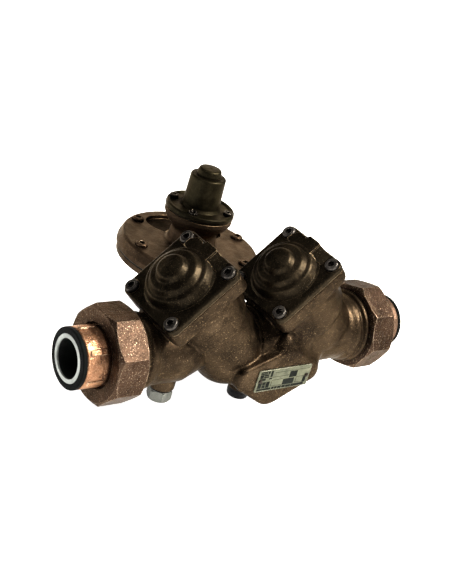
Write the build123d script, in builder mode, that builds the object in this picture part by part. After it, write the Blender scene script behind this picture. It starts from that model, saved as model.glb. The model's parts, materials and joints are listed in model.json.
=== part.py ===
from build123d import *
import os
from math import cos, radians, sin

# Reduced-pressure backflow preventer with union ends, nominal size 25 mm. Millimetres.
# The origin is the middle of the inlet tail's mouth. X runs with the flow along the pipe axis,
# Z is up, and the nameplate faces +Y. Both check valves lean downstream, and the relief valve
# stands beside the body on the -Y side.

# ---- driving dimensions -------------------------------------------------------------------
total_length = 292.0
half_length = total_length / 2
first_check_x = 72.0
check_pitch = 93.0
second_check_x = first_check_x + check_pitch
check_lean = 45.0

zone_bore = 14.0
zone_outer_radius = 18.5

relief_x = 138.0
relief_y = -95.0
port_z = -16.0

# ---- union ends, as distances from the mouth ----------------------------------------------
tail_radius = 21.0
tail_flange_radius = 26.6
tail_flange_start = 25.2
tail_end = 30.5
tail_bore_radius = 16.6
core_radius = 13.65
core_wall_radius = 16.55
end_ring_length = 3.0
rib_count = 6
rib_width = 3.2
rib_height = 0.9
nut_start = 20.0
nut_length = 22.6
nut_corner_radius = 35.0
nut_lip = 5.0
nut_hole_radius = 21.5
nut_thread_radius = 27.6
nut_turns = {"inlet": 39.2, "outlet": 20.6}
gasket_thickness = 2.0
gasket_bore = 15.0
spigot_face = tail_end + gasket_thickness
spigot_radius = 27.2
spigot_bore = 16.0
collar_start = nut_start + nut_length + 0.5
collar_radius = 28.2
pipe_radius = 25.0

taper_start = 84.0
taper_end = 106.0
taper_radius = 17.5
taper_bore = 12.0
union_end_depth = {"inlet": half_length, "outlet": taper_start}

# ---- check valves, as heights along each check's own axis ----------------------------------
barrel_radius = 30.3
barrel_foot = 30.0
lower_radius = 27.5
chamber_radius = 22.5
web_bottom = -8.0
web_top = 3.0
flange_bottom = 58.5
cover_joint = 70.4
cover_top = 75.0
flange_size = 63.2
flange_corner = 6.4
screw_offset = 25.2
screw_pocket = 2.6
screw_hole_depth = 11.8
seat_radius = 17.0
seat_bore = 12.5
seat_lip_top = 8.0
disc_thickness = 3.5
poppet_radius = 17.0
poppet_back = 14.5
stem_radius = 4.0
stem_top = 66.0
guide_bore = 4.06
guide_bottom = 57.0
guide_top = 78.0
spring_mean_radius = 12.0
spring_wire = 0.9
spring_turns = 8.5
spring_top = 79.6
block_height = 9.4

# ---- screws: head radius, head height and shank radius --------------------------------------
cover_screw = (4.9, 5.0, 2.4)
casing_screw = (4.6, 5.0, 2.4)
bonnet_screw = (3.5, 3.4, 1.9)
tapped_hole = 2.5
clear_hole = 3.2
fit = 0.05

# ---- relief valve, as heights above the pipe axis ------------------------------------------
casing_radius = 57.0
casing_bottom = 11.0
diaphragm_bottom = 15.5
diaphragm_top = 16.7
casing_top = 28.0
casing_bolt_circle = 47.0
casing_bolts = 6
casing_bolt_start = 2.0
casing_pocket = 2.5
cup_bottom = 48.0
cup_joint = 55.0
bonnet_bottom = 55.8
bonnet_flange_top = 59.9
bonnet_shoulder = 84.9
bonnet_top = 91.5
bonnet_radius = 27.1
bonnet_screw_circle = 22.0
bonnet_screws = 4
bonnet_screw_start = 40.0
bonnet_pocket = 1.6
cap_thread_radius = 6.4
relief_spring_start = bonnet_bottom + 2.05
relief_spring_top = 76.2
relief_spring_radius = 8.6
relief_spring_turns = 5.5
relief_seat_top = -25.0
relief_seat_base = relief_seat_top - 2
relief_seat_bottom = relief_seat_top - 8
relief_travel = 6.0
relief_disc_bottom = relief_seat_top + relief_travel + 0.02
relief_stem_radius = 3.0
relief_stem_bore = 3.06
discharge_radius = 20.0
discharge_mouth = -57.0
port_radius = 10.0
port_joint_y = -60.0
port_flange = 6.0
port_flange_width = 74.0
port_flange_height = 31.0
port_screw_offset = 23.5

# ---- front lobe with the nameplate ----------------------------------------------------------
lobe_face_y = 33.0
lobe_back_y = -12.0
plate_x = 126.8
plate_z = -16.5
plate_width = 50.0
plate_height = 18.0
plate_thickness = 0.8
pin_inset = 3.0

# ---- plugs below the body -------------------------------------------------------------------
drain_x = 208.7
zone_plug_x = 136.0
zone_plug_y = 2.0
plug_thread_radius = 6.0
drain_boss_bottom = -33.5
drain_hex_radius = 9.2
zone_boss_bottom = -43.5
washer_thickness = 0.8

lean = radians(check_lean)
check_axis = (sin(lean), 0, cos(lean))
check_down = (cos(lean), 0, -sin(lean))


# ---- planes and repeated forms --------------------------------------------------------------
def end_station(end, distance):
    """Plane across the pipe, at a distance from that end's mouth, looking into the body."""
    if end == "inlet":
        return Plane(origin=(distance, 0, 0), x_dir=(0, 1, 0), z_dir=(1, 0, 0))
    return Plane(origin=(total_length - distance, 0, 0), x_dir=(0, 1, 0), z_dir=(-1, 0, 0))


def check_station(x, height):
    """Plane across a check valve's axis, which meets the pipe axis at x."""
    origin = (x + height * check_axis[0], 0, height * check_axis[2])
    return Plane(origin=origin, x_dir=check_down, z_dir=check_axis)


def upright_station(x, y, height):
    """Level plane at a height above the pipe axis."""
    return Plane(origin=(x, y, height), x_dir=(1, 0, 0), z_dir=(0, 0, 1))


def relief_station(height):
    return upright_station(relief_x, relief_y, height)


def turn(station, outline, mode=Mode.ADD):
    """Turn an outline of (radius, height, corner radius) points about the station's axis."""
    corners = [(point[0], point[1]) for point in outline]
    radii = [point[2] if len(point) > 2 else 0 for point in outline]
    section_plane = Plane(origin=station.origin, x_dir=station.x_dir, z_dir=-station.y_dir)
    with BuildSketch(section_plane) as section:
        with BuildLine():
            FilletPolyline(*corners, radius=radii, close=True)
        make_face()
    revolve(section.sketch, axis=Axis(station.origin, station.z_dir), mode=mode)


def ring(station, centre_radius, cord_radius):
    """O-ring lying in the station's plane."""
    section_plane = Plane(origin=station.origin, x_dir=station.x_dir, z_dir=-station.y_dir)
    with BuildSketch(section_plane) as section:
        with Locations((centre_radius, 0)):
            Circle(cord_radius)
    revolve(section.sketch, axis=Axis(station.origin, station.z_dir))


def coil(station, mean_radius, wire_radius, height, turns):
    """Compression spring standing on the station."""
    start = station.offset(wire_radius)
    spine = Edge.make_helix(height / turns, height, mean_radius, start.origin, start.z_dir)
    with BuildSketch(Plane(origin=spine @ 0, z_dir=spine % 0)) as wire:
        Circle(wire_radius)
    sweep(wire.sketch, path=spine, is_frenet=True)


def bore(station, radius, depth, mode=Mode.SUBTRACT):
    """Plain cylinder from the station, depth along its axis."""
    turn(station, [(0, 0), (radius, 0), (radius, depth), (0, depth)], mode)


def socket_screw(seat, head_radius, head_height, shank_radius, shank_length):
    """Socket-head screw with its head on the seat and its shank below."""
    edge = head_radius * 0.12
    turn(seat, [
        (0, -shank_length),
        (shank_radius - edge, -shank_length),
        (shank_radius, edge - shank_length),
        (shank_radius, 0),
        (head_radius, 0),
        (head_radius, head_height - edge),
        (head_radius - edge, head_height),
        (0, head_height),
    ])
    with BuildSketch(seat.offset(head_height)) as socket:
        RegularPolygon(head_radius * 0.58, 6)
    extrude(socket.sketch, -head_height * 0.6, mode=Mode.SUBTRACT)


def shifted(station, across, along):
    """The same plane with its origin moved within itself."""
    return Plane(
        origin=station.from_local_coords((across, along, 0)), x_dir=station.x_dir, z_dir=station.z_dir
    )


def screw_seats(station):
    """The four corner positions of a check cover."""
    corners = [(a, b) for a in (-screw_offset, screw_offset) for b in (-screw_offset, screw_offset)]
    return [shifted(station, a, b) for a, b in corners]


def circle_seats(station, circle_radius, count, start):
    """Seats spaced evenly on a circle."""
    angles = [radians(start + 360 / count * step) for step in range(count)]
    return [shifted(station, circle_radius * cos(a), circle_radius * sin(a)) for a in angles]


def casing_bolt_seats(height):
    return circle_seats(relief_station(height), casing_bolt_circle, casing_bolts, casing_bolt_start)


def bonnet_screw_seats(height):
    return circle_seats(relief_station(height), bonnet_screw_circle, bonnet_screws, bonnet_screw_start)


def finish(piece, name):
    """Name a finished piece and write its file."""
    piece.part.label = name
    export_step(piece.part, f"parts/{name}.step")


os.makedirs("parts", exist_ok=True)
checks = {"first": first_check_x, "second": second_check_x}
ends = ("inlet", "outlet")

# ---- body casting -----------------------------------------------------------------------------
zone_start = shifted(check_station(first_check_x, 13.4), 14.8, 0).origin
zone_finish = check_station(second_check_x, -19).origin
zone_plane = Plane(origin=zone_start, x_dir=(0, 1, 0), z_dir=zone_finish - zone_start)
zone_length = (zone_finish - zone_start).length
port_plane = Plane(origin=(relief_x, 0, port_z), x_dir=(1, 0, 0), z_dir=(0, -1, 0))
port_joint = port_plane.offset(-port_joint_y)
port_seats = [shifted(port_joint, side * port_screw_offset, 0) for side in (-1, 1)]

with BuildPart() as inlet_passage:
    bore(end_station("inlet", spigot_face - 1), spigot_bore, 60, Mode.ADD)
    split(bisect_by=check_station(first_check_x, web_bottom), keep=Keep.BOTTOM)

with BuildPart() as outlet_passage:
    turn(end_station("outlet", 0), [
        (0, spigot_face - 1),
        (spigot_bore, spigot_face - 1),
        (spigot_bore, taper_start),
        (taper_bore, taper_end),
        (taper_bore, taper_end + 30),
        (0, taper_end + 30),
    ])
    split(bisect_by=check_station(second_check_x, web_top), keep=Keep.TOP)

with BuildPart() as zone_passage:
    bore(zone_plane, zone_bore, zone_length, Mode.ADD)
    split(bisect_by=check_station(second_check_x, web_bottom), keep=Keep.BOTTOM)

with BuildPart() as lobe:
    with BuildSketch(Plane(origin=(0, lobe_face_y, 0), x_dir=(1, 0, 0), z_dir=(0, -1, 0))):
        with BuildLine():
            FilletPolyline(
                (90.5, -13),
                (123, 9),
                (168.5, -8),
                (166.0, -23),
                (133, -43.5),
                (91.5, -22),
                radius=[6, 12, 7, 9, 15, 6],
                close=True,
            )
        make_face()
    extrude(amount=lobe_face_y - lobe_back_y)
    fillet(lobe.faces().sort_by(Axis.Y)[-1].edges(), 2.4)
    fillet(lobe.faces().sort_by(Axis.Y)[0].edges(), 3.0)

with BuildPart() as body:
    for end in ends:
        turn(end_station(end, 0), [
            (0, spigot_face),
            (spigot_radius - 0.8, spigot_face),
            (spigot_radius, spigot_face + 0.8),
            (spigot_radius, collar_start),
            (collar_radius, collar_start, 0.6),
            (collar_radius, collar_start + 3.4, 0.8),
            (25.2, collar_start + 4.0, 0.6),
            (25.2, collar_start + 5.8, 0.6),
            (26.8, collar_start + 6.8, 0.8),
            (26.8, collar_start + 10.5, 3.0),
            (pipe_radius, collar_start + 14.0, 3.0),
            (pipe_radius, union_end_depth[end]),
            (0, union_end_depth[end]),
        ])
    turn(end_station("outlet", 0), [
        (0, taper_start - 1),
        (pipe_radius, taper_start - 1),
        (pipe_radius, taper_start),
        (taper_radius, taper_end),
        (taper_radius, taper_end + 20),
        (0, taper_end + 20),
    ])
    turn(check_station(first_check_x, 0), [
        (0, -6),
        (lower_radius, -6, 16),
        (lower_radius, 42),
        (0, 42),
    ])
    turn(check_station(second_check_x, 0), [
        (0, -33),
        (lower_radius, -33, 23),
        (lower_radius, 42),
        (0, 42),
    ])
    for x in checks.values():
        turn(check_station(x, 0), [
            (0, barrel_foot - 2),
            (lower_radius, barrel_foot - 2),
            (barrel_radius, barrel_foot, 1.2),
            (barrel_radius, flange_bottom + 1),
            (0, flange_bottom + 1),
        ])
        with BuildSketch(check_station(x, flange_bottom)):
            RectangleRounded(flange_size, flange_size, flange_corner)
        extrude(amount=cover_joint - flange_bottom)
    bore(zone_plane, zone_outer_radius, zone_length, Mode.ADD)
    add(lobe.part)
    turn(port_plane, [(0, 0), (15, 0), (15, -port_joint_y), (0, -port_joint_y)])
    with BuildSketch(port_plane.offset(-port_joint_y - port_flange)):
        SlotOverall(port_flange_width, port_flange_height)
    extrude(amount=port_flange)
    turn(upright_station(drain_x, 0, 0), [
        (0, 0),
        (9.5, 0),
        (9.5, drain_boss_bottom, 1.5),
        (0, drain_boss_bottom),
    ])
    turn(upright_station(zone_plug_x, zone_plug_y, 0), [
        (0, 0),
        (10, 0),
        (10, zone_boss_bottom, 1.5),
        (0, zone_boss_bottom),
    ])

    for x in checks.values():
        with BuildSketch(check_station(x, cover_joint)):
            RectangleRounded(flange_size + 1.6, flange_size + 1.6, flange_corner + 0.8)
        extrude(amount=22, mode=Mode.SUBTRACT)
    add(inlet_passage.part, mode=Mode.SUBTRACT)
    add(outlet_passage.part, mode=Mode.SUBTRACT)
    add(zone_passage.part, mode=Mode.SUBTRACT)
    for x in checks.values():
        bore(check_station(x, web_bottom - 0.5), seat_radius, web_top - web_bottom + 1)
        bore(check_station(x, web_top), chamber_radius, cover_joint - web_top + 1)
        for seat in screw_seats(check_station(x, cover_joint)):
            bore(seat.offset(-screw_hole_depth), tapped_hole, screw_hole_depth + 1)
    turn(check_station(second_check_x, 0), [
        (0, -27),
        (seat_radius, -27, 10),
        (seat_radius, web_bottom),
        (0, web_bottom),
    ], Mode.SUBTRACT)
    bore(port_plane.offset(2), port_radius, -port_joint_y)
    turn(port_plane, [
        (11.6, -port_joint_y - 2),
        (13.6, -port_joint_y - 2),
        (13.6, -port_joint_y + 1),
        (11.6, -port_joint_y + 1),
    ], Mode.SUBTRACT)
    bore(upright_station(drain_x, 0, -35), plug_thread_radius, 22)
    bore(upright_station(zone_plug_x, zone_plug_y, -45), plug_thread_radius, 36)
    for seat in port_seats:
        bore(seat.offset(-port_flange - 1), tapped_hole, port_flange + 2)
finish(body, "body")

# ---- union ends ---------------------------------------------------------------------------------
for end in ends:
    mouth = end_station(end, 0)
    with BuildPart() as tail:
        turn(mouth, [
            (tail_bore_radius, end_ring_length),
            (tail_radius - 1.0, end_ring_length, 0.5),
            (tail_radius, end_ring_length + 1.2, 0.6),
            (tail_radius, nut_start - 1.0, 2.2),
            (tail_radius - 1.2, nut_start + 1.0, 0.8),
            (tail_radius - 1.2, tail_flange_start),
            (tail_flange_radius, tail_flange_start),
            (tail_flange_radius, tail_end),
            (tail_bore_radius, tail_end),
        ])
        with BuildSketch(end_station(end, 6)):
            with PolarLocations(tail_radius, rib_count, start_angle=nut_turns[end]):
                Rectangle(2 * rib_height, rib_width)
        extrude(amount=11.5)
    finish(tail, f"{end}_tail")

    with BuildPart() as end_ring:
        turn(mouth, [
            (tail_bore_radius, 0),
            (tail_radius, 0, 1.0),
            (tail_radius, end_ring_length),
            (tail_bore_radius, end_ring_length),
        ])
    finish(end_ring, f"{end}_end_ring")

    with BuildPart() as core:
        turn(mouth, [
            (core_radius, 0),
            (core_wall_radius, 0, 0.5),
            (core_wall_radius, tail_end),
            (core_radius, tail_end),
        ])
    finish(core, f"{end}_core")

    with BuildPart() as union_gasket:
        turn(end_station(end, tail_end), [
            (gasket_bore, 0),
            (tail_flange_radius - 0.6, 0),
            (tail_flange_radius - 0.6, gasket_thickness),
            (gasket_bore, gasket_thickness),
        ])
    finish(union_gasket, f"{end}_union_gasket")

    with BuildPart() as union_nut:
        with BuildSketch(end_station(end, nut_start)):
            RegularPolygon(nut_corner_radius, 8, rotation=nut_turns[end])
        extrude(amount=nut_length)
        turn(end_station(end, nut_start), [
            (0, 0),
            (31.6, 0),
            (nut_corner_radius + 0.4, 3.0),
            (nut_corner_radius + 0.4, nut_length - 2.4),
            (32.4, nut_length),
            (0, nut_length),
        ], Mode.INTERSECT)
        bore(end_station(end, nut_start - 1), nut_hole_radius, nut_length)
        bore(end_station(end, nut_start + nut_lip), nut_thread_radius, nut_length)
        turn(end_station(end, nut_start), [
            (0, -1),
            (nut_hole_radius + 2.2, -1),
            (nut_hole_radius, 1.4),
            (0, 1.4),
        ], Mode.SUBTRACT)
    finish(union_nut, f"{end}_union_nut")

# ---- check valves -------------------------------------------------------------------------------
for check, x in checks.items():
    axis_station = check_station(x, 0)

    with BuildPart() as seat_ring:
        turn(axis_station, [
            (seat_bore, -7),
            (seat_radius - 0.05, -7, 0.5),
            (seat_radius - 0.05, -3.3),
            (15.0, -3.3),
            (15.0, -0.9),
            (seat_radius - 0.05, -0.9),
            (seat_radius - 0.05, web_top),
            (20.0, web_top),
            (20.0, web_top + 2.6, 0.6),
            (15.0, web_top + 2.6),
            (14.4, seat_lip_top),
            (13.4, seat_lip_top),
            (seat_bore, 6.6),
        ])
    finish(seat_ring, f"{check}_seat")

    with BuildPart() as seat_o_ring:
        ring(check_station(x, -2.1), 16.0, 0.95)
    finish(seat_o_ring, f"{check}_seat_o_ring")

    with BuildPart() as check_disc:
        turn(axis_station, [
            (stem_radius + fit, seat_lip_top),
            (poppet_radius - 1.5, seat_lip_top, 0.4),
            (poppet_radius - 1.5, seat_lip_top + disc_thickness - 0.05),
            (stem_radius + fit, seat_lip_top + disc_thickness - 0.05),
        ])
    finish(check_disc, f"{check}_check_disc")

    with BuildPart() as retainer:
        turn(axis_station, [
            (stem_radius + fit, seat_lip_top - 2.2),
            (10.5, seat_lip_top - 2.2, 0.8),
            (10.5, seat_lip_top - 0.02),
            (stem_radius + fit, seat_lip_top - 0.02),
        ])
    finish(retainer, f"{check}_disc_retainer")

    with BuildPart() as poppet_nut:
        with BuildSketch(check_station(x, 1.6)):
            RegularPolygon(7.5, 6)
        extrude(amount=4.1)
        bore(check_station(x, 1), stem_radius + fit, 6)
    finish(poppet_nut, f"{check}_poppet_nut")

    with BuildPart() as poppet:
        turn(axis_station, [
            (0, 0.6),
            (stem_radius, 0.6, 0.8),
            (stem_radius, seat_lip_top + disc_thickness),
            (poppet_radius - 1.45, seat_lip_top + disc_thickness),
            (poppet_radius - 1.45, seat_lip_top + 1.2),
            (poppet_radius, seat_lip_top + 1.2),
            (poppet_radius, poppet_back, 1.0),
            (9.5, poppet_back),
            (8.5, poppet_back + 2.5, 0.8),
            (6.5, poppet_back + 3.5, 1.0),
            (stem_radius, poppet_back + 8),
            (stem_radius, stem_top),
            (0, stem_top),
        ])
    finish(poppet, f"{check}_poppet")

    with BuildPart() as check_spring:
        spring_height = spring_top - poppet_back - 2 * spring_wire
        spring_base = check_station(x, poppet_back + fit)
        coil(spring_base, spring_mean_radius, spring_wire, spring_height, spring_turns)
    finish(check_spring, f"{check}_check_spring")

    with BuildPart() as cover:
        with BuildSketch(check_station(x, cover_joint)):
            RectangleRounded(flange_size, flange_size, flange_corner)
        extrude(amount=cover_top - cover_joint)
        outer_edge = cover.faces().sort_by(Axis(axis_station.origin, axis_station.z_dir))[-1].edges()
        fillet(outer_edge, 1.4)
        turn(axis_station, [
            (0, cover_joint),
            (26.4, cover_joint),
            (26.4, cover_top, 1.0),
            (24.6, cover_top + 0.6, 1.0),
            (22.2, cover_top + 7.0, 1.8),
            (19.2, cover_top + 7.4, 1.2),
            (16.9, cover_top + 11.6, 1.8),
            (11.6, cover_top + 12.2, 1.4),
            (9.6, cover_top + 17.0, 2.8),
            (0, cover_top + 18.4),
        ])
        with BuildSketch(check_station(x, cover_joint + 2)):
            with BuildLine():
                FilletPolyline(
                    (-18.4, -17.0),
                    (-18.4, 8.5),
                    (-31.0, 8.5),
                    (-31.0, -3.5),
                    (-27.4, -4.5),
                    (-28.8, -6.5),
                    (-28.8, -12.5),
                    (-24.5, -16.5),
                    radius=[2.0, 1.0, 1.4, 0.6, 0.6, 1.0, 2.0, 1.6],
                    close=True,
                )
            make_face()
        extrude(amount=block_height)
        ramp_plane = shifted(check_station(x, 0), -30.6, 0)
        with BuildSketch(Plane(origin=ramp_plane.origin, x_dir=(0, 1, 0), z_dir=check_down)):
            with BuildLine():
                Polyline(
                    (8.0, cover_joint + 2),
                    (8.0, cover_top + 5.6),
                    (12.0, cover_top + 2.4),
                    (18.0, cover_top),
                    (18.0, cover_joint + 2),
                    close=True,
                )
            make_face()
        extrude(amount=10)
        turn(axis_station, [
            (0, cover_joint - 6.5),
            (19.0, cover_joint - 6.5),
            (chamber_radius - 0.1, cover_joint - 5.5),
            (chamber_radius - 0.1, cover_joint - 4.0),
            (20.4, cover_joint - 4.0),
            (20.4, cover_joint - 1.6),
            (chamber_radius - 0.1, cover_joint - 1.6),
            (chamber_radius - 0.1, cover_joint),
            (0, cover_joint),
        ])
        turn(axis_station, [
            (7.0, guide_bottom - 1),
            (17.0, guide_bottom - 1),
            (17.0, spring_top, 2.0),
            (8.0, spring_top),
        ], Mode.SUBTRACT)
        turn(axis_station, [
            (0, guide_bottom),
            (7.0, guide_bottom, 0.8),
            (8.0, spring_top + 1),
            (0, spring_top + 1),
        ])
        bore(check_station(x, guide_bottom - 1), guide_bore, guide_top - guide_bottom + 1)
        for seat in screw_seats(check_station(x, cover_top)):
            bore(seat.offset(-screw_pocket), 5.5, 14)
            bore(seat.offset(-10), clear_hole, 12)
    finish(cover, f"{check}_cover")

    with BuildPart() as cover_o_ring:
        ring(check_station(x, cover_joint - 2.8), 21.4, 0.95)
    finish(cover_o_ring, f"{check}_cover_o_ring")

    with BuildPart() as cover_screws:
        for seat in screw_seats(check_station(x, cover_top - screw_pocket)):
            socket_screw(seat, *cover_screw, shank_length=13.6)
    finish(cover_screws, f"{check}_cover_screws")

# ---- relief valve: casings ----------------------------------------------------------------------
with BuildPart() as relief_body:
    turn(relief_station(0), [
        (0, discharge_mouth),
        (24.5, discharge_mouth, 1.2),
        (25.5, -30, 4),
        (26.0, -5, 5),
        (30.0, 0.5, 4),
        (41.0, 3.5, 4),
        (44.5, casing_bottom - 0.8, 2),
        (casing_radius - 1.2, casing_bottom, 1.0),
        (casing_radius - 1.0, diaphragm_bottom),
        (0, diaphragm_bottom),
    ])
    turn(port_plane, [(0, 62), (15, 62), (15, 85), (0, 85)])
    with BuildSketch(port_plane.offset(-port_joint_y)):
        SlotOverall(port_flange_width, port_flange_height)
    extrude(amount=port_flange)
    turn(relief_station(0), [
        (0, relief_seat_base),
        (20, relief_seat_base, 1.5),
        (20, 3.5, 2),
        (33.8, 5.8, 2),
        (36.5, 8.5, 1.5),
        (36.5, diaphragm_bottom + 1),
        (0, diaphragm_bottom + 1),
    ], Mode.SUBTRACT)
    bore(relief_station(relief_seat_bottom - 1), 14.0, 10)
    turn(relief_station(0), [
        (0, discharge_mouth - 1),
        (discharge_radius, discharge_mouth - 1),
        (discharge_radius, relief_seat_bottom, 2),
        (0, relief_seat_bottom),
    ], Mode.SUBTRACT)
    bore(port_plane.offset(-port_joint_y - 1), port_radius, 20)
    for seat in port_seats:
        bore(seat.offset(-1), clear_hole, port_flange + 2)
    for seat in casing_bolt_seats(casing_bottom - 4):
        bore(seat, tapped_hole, 10)
finish(relief_body, "relief_body")

with BuildPart() as relief_cover:
    turn(relief_station(0), [
        (0, diaphragm_top),
        (casing_radius - 1.0, diaphragm_top),
        (casing_radius, diaphragm_top + 1.2, 0.6),
        (casing_radius - 0.2, casing_top - 7, 1.5),
        (casing_radius - 3.0, casing_top, 2.6),
        (19.5, casing_top, 3.0),
        (17.6, 41.0, 5.0),
        (24.0, cup_bottom - 1.2, 4.0),
        (26.6, cup_joint - 3.6, 2.0),
        (26.6, cup_joint),
        (0, cup_joint),
    ])
    with BuildSketch(shifted(relief_station(casing_top - 3.4), -9.0, -24.0)):
        Ellipse(31, 19, rotation=-28)
    extrude(amount=3.4, mode=Mode.SUBTRACT)
    turn(relief_station(0), [
        (0, casing_top - 4),
        (18.6, casing_top - 4),
        (17.9, casing_top + 1),
        (17.6, 38.0),
        (0, 38.0),
    ])
    turn(relief_station(0), [
        (0, diaphragm_top - 1),
        (41.5, diaphragm_top - 1),
        (41.5, 21.4, 2.5),
        (10.0, 21.4),
        (10.0, 27.0, 1.0),
        (0, 27.0),
    ], Mode.SUBTRACT)
    turn(relief_station(0), [
        (0, cup_joint - 5),
        (13.5, cup_joint - 5, 1.0),
        (15.0, cup_joint + 1),
        (0, cup_joint + 1),
    ], Mode.SUBTRACT)
    bore(relief_station(20), relief_stem_bore, 40)
    bore(relief_station(33), 5.2, 2.4)
    for seat in casing_bolt_seats(casing_top - casing_pocket):
        bore(seat, 5.2, 5)
        bore(seat.offset(-12), 2.6, 14)
    for seat in bonnet_screw_seats(cup_joint - 6):
        bore(seat, 1.95, 8)
finish(relief_cover, "relief_cover")

with BuildPart() as stem_o_ring:
    ring(relief_station(34.2), 4.15, 1.0)
finish(stem_o_ring, "relief_stem_o_ring")

with BuildPart() as main_diaphragm:
    turn(relief_station(0), [
        (relief_stem_radius + 0.1, diaphragm_bottom),
        (casing_radius - 1.4, diaphragm_bottom),
        (casing_radius - 1.4, diaphragm_top),
        (relief_stem_radius + 0.1, diaphragm_top),
    ])
    for seat in casing_bolt_seats(diaphragm_bottom - 1):
        bore(seat, 2.6, 4)
finish(main_diaphragm, "main_diaphragm")

with BuildPart() as casing_screws:
    for seat in casing_bolt_seats(casing_top - casing_pocket):
        socket_screw(seat, *casing_screw, shank_length=15.0)
finish(casing_screws, "casing_screws")

with BuildPart() as bonnet:
    turn(relief_station(0), [
        (0, bonnet_bottom),
        (bonnet_radius - 0.4, bonnet_bottom),
        (bonnet_radius, bonnet_bottom + 1.2, 0.6),
        (bonnet_radius - 0.4, bonnet_flange_top, 1.4),
        (24.6, bonnet_flange_top + 0.2, 0.4),
        (23.0, bonnet_flange_top - 1.2, 1.0),
        (15.6, bonnet_flange_top - 1.2, 1.2),
        (14.4, bonnet_flange_top + 1.2, 1.0),
        (13.8, bonnet_shoulder, 1.6),
        (0, bonnet_shoulder + 0.3),
    ])
    turn(relief_station(0), [
        (0, bonnet_bottom - 1),
        (11.6, bonnet_bottom - 1),
        (11.4, 82.4, 1.5),
        (cap_thread_radius, 82.4),
        (cap_thread_radius, bonnet_top),
        (0, bonnet_top),
    ], Mode.SUBTRACT)
    for seat in bonnet_screw_seats(bonnet_flange_top - bonnet_pocket):
        bore(seat, 4.0, 4)
        bore(seat.offset(-4), 2.1, 6)
finish(bonnet, "spring_bonnet")

with BuildPart() as bonnet_cap:
    turn(relief_station(0), [
        (0, 83.0),
        (cap_thread_radius - fit, 83.0),
        (cap_thread_radius - fit, bonnet_shoulder + 0.35),
        (9.6, bonnet_shoulder + 0.35),
        (9.6, bonnet_shoulder + 1.2, 0.4),
        (8.6, bonnet_top - 0.8, 2.0),
        (0, bonnet_top),
    ])
finish(bonnet_cap, "bonnet_cap")

with BuildPart() as small_diaphragm:
    turn(relief_station(0), [
        (relief_stem_radius + 0.1, cup_joint),
        (bonnet_radius - 1.2, cup_joint),
        (bonnet_radius - 1.2, bonnet_bottom),
        (relief_stem_radius + 0.1, bonnet_bottom),
    ])
    for seat in bonnet_screw_seats(cup_joint - 1):
        bore(seat, 2.1, 4)
finish(small_diaphragm, "bonnet_diaphragm")

with BuildPart() as bonnet_screw_set:
    for seat in bonnet_screw_seats(bonnet_flange_top - bonnet_pocket):
        socket_screw(seat, *bonnet_screw, shank_length=9.0)
finish(bonnet_screw_set, "bonnet_screws")

# ---- relief valve: moving stem and springs ------------------------------------------------------
with BuildPart() as relief_seat:
    turn(relief_station(0), [
        (11.0, relief_seat_bottom),
        (13.95, relief_seat_bottom, 0.5),
        (13.95, relief_seat_base),
        (17.0, relief_seat_base),
        (17.0, relief_seat_base + 1, 0.4),
        (14.0, relief_seat_base + 1),
        (13.4, relief_seat_top),
        (12.4, relief_seat_top),
        (11.0, relief_seat_base),
    ])
finish(relief_seat, "relief_seat")

with BuildPart() as relief_disc:
    turn(relief_station(0), [
        (relief_stem_radius + fit, relief_disc_bottom),
        (15.5, relief_disc_bottom, 0.4),
        (15.5, relief_disc_bottom + 3.5),
        (relief_stem_radius + fit, relief_disc_bottom + 3.5),
    ])
finish(relief_disc, "relief_disc")

with BuildPart() as relief_retainer:
    turn(relief_station(0), [
        (relief_stem_radius + fit, relief_disc_bottom - 2),
        (8.0, relief_disc_bottom - 2, 0.6),
        (8.0, relief_disc_bottom - 0.02),
        (relief_stem_radius + fit, relief_disc_bottom - 0.02),
    ])
finish(relief_retainer, "relief_disc_retainer")

with BuildPart() as relief_stem:
    turn(relief_station(0), [
        (0, relief_disc_bottom - 6.5),
        (relief_stem_radius, relief_disc_bottom - 6.5, 0.5),
        (relief_stem_radius, relief_disc_bottom + 3.5),
        (16.5, relief_disc_bottom + 3.5),
        (16.5, relief_disc_bottom + 6.5, 1.0),
        (6.0, relief_disc_bottom + 8.0, 1.0),
        (6.0, 12.8),
        (relief_stem_radius, 12.8),
        (relief_stem_radius, 82.0, 0.5),
        (0, 82.0),
    ])
finish(relief_stem, "relief_stem")

with BuildPart() as stem_nuts:
    for height in (relief_disc_bottom - 5.6, 19.2, 78.4):
        with BuildSketch(relief_station(height)):
            RegularPolygon(6.2, 6)
        extrude(amount=3.5)
        bore(relief_station(height - 1), relief_stem_radius + fit, 6)
finish(stem_nuts, "relief_stem_nuts")

for plate, low, high in (("lower", 12.85, diaphragm_bottom), ("upper", diaphragm_top, 19.1)):
    with BuildPart() as diaphragm_plate:
        turn(relief_station(0), [
            (relief_stem_radius + fit, low),
            (33.0, low, 0.8),
            (33.0, high, 0.8),
            (relief_stem_radius + fit, high),
        ])
    finish(diaphragm_plate, f"{plate}_diaphragm_plate")

with BuildPart() as spring_seat:
    turn(relief_station(0), [
        (relief_stem_radius + 0.4, bonnet_bottom + 0.05),
        (11.2, bonnet_bottom + 0.05),
        (11.2, bonnet_bottom + 2.0, 0.4),
        (6.6, bonnet_bottom + 2.0),
        (6.0, bonnet_bottom + 4.0),
        (relief_stem_radius + 0.4, bonnet_bottom + 4.0),
    ])
finish(spring_seat, "relief_spring_seat")

with BuildPart() as spring_plate:
    turn(relief_station(0), [
        (relief_stem_radius + fit, relief_spring_top),
        (10.6, relief_spring_top),
        (10.6, 78.3, 0.6),
        (relief_stem_radius + fit, 78.3),
    ])
finish(spring_plate, "relief_spring_plate")

with BuildPart() as relief_spring:
    spring_base = relief_station(relief_spring_start)
    spring_height = relief_spring_top - relief_spring_start - 2 * spring_wire
    coil(spring_base, relief_spring_radius, spring_wire, spring_height, relief_spring_turns)
finish(relief_spring, "relief_spring")

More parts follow.
